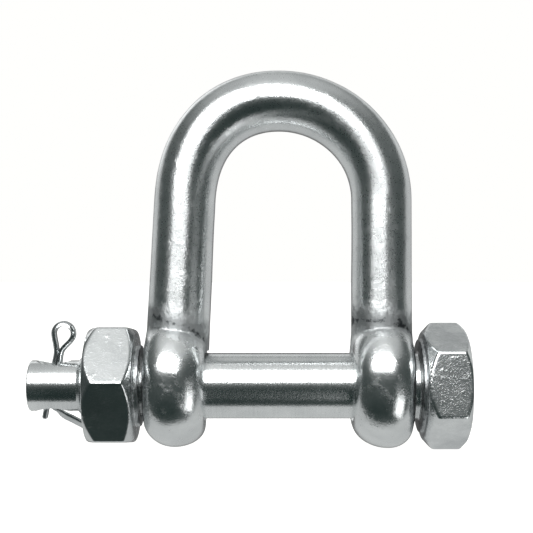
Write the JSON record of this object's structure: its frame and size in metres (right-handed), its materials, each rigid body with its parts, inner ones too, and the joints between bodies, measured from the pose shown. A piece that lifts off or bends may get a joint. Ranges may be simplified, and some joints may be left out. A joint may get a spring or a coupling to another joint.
{
  "type": "dee shackle",
  "caption": "Bolt-type dee shackle: a bent round steel bow with forged eyes, closed by a hex-head bolt, a hex nut and a split cotter pin.",
  "frame": {"origin": "middle of the object's underside, below the bolt axis, at the height of the head's lowest corner", "axes": "+X along the bolt towards its head, +Y through the jaw from front to back, +Z from the bolt towards the bow's crown"},
  "size_m": [0.1138, 0.0336, 0.0992],
  "materials": {
    "polished_bow": "polished stainless steel, slightly uneven as a tumbled forging is",
    "turned_bolt": "turned and polished stainless steel with fine tool marks",
    "faced_nut": "smooth stainless steel with lightly mottled flats",
    "drawn_wire": "drawn bright stainless wire"
  },
  "bodies": {
    "bow": {"bow_body": "polished_bow"},
    "bolt": {"bolt": "turned_bolt"},
    "nut": {"nut": "faced_nut"},
    "cotter": {"cotter_pin": "drawn_wire"}
  },
  "joints": [
    {"name": "bolt_turn", "type": "hinge", "parent": "bow", "child": "bolt", "pos_m": [0, 0, 0.01659], "axis": [1, 0, 0], "continuous": true},
    {"name": "nut_turn", "type": "hinge", "parent": "bolt", "child": "nut", "pos_m": [-0.03472, 0, 0.01659], "axis": [-1, 0, 0], "range_deg": [-144, 126]},
    {"name": "cotter_slide", "type": "slide", "parent": "bolt", "child": "cotter", "axis": [0.1736, 0, 0.9848], "range_m": [-0.0028, 0.0002]}
  ]
}
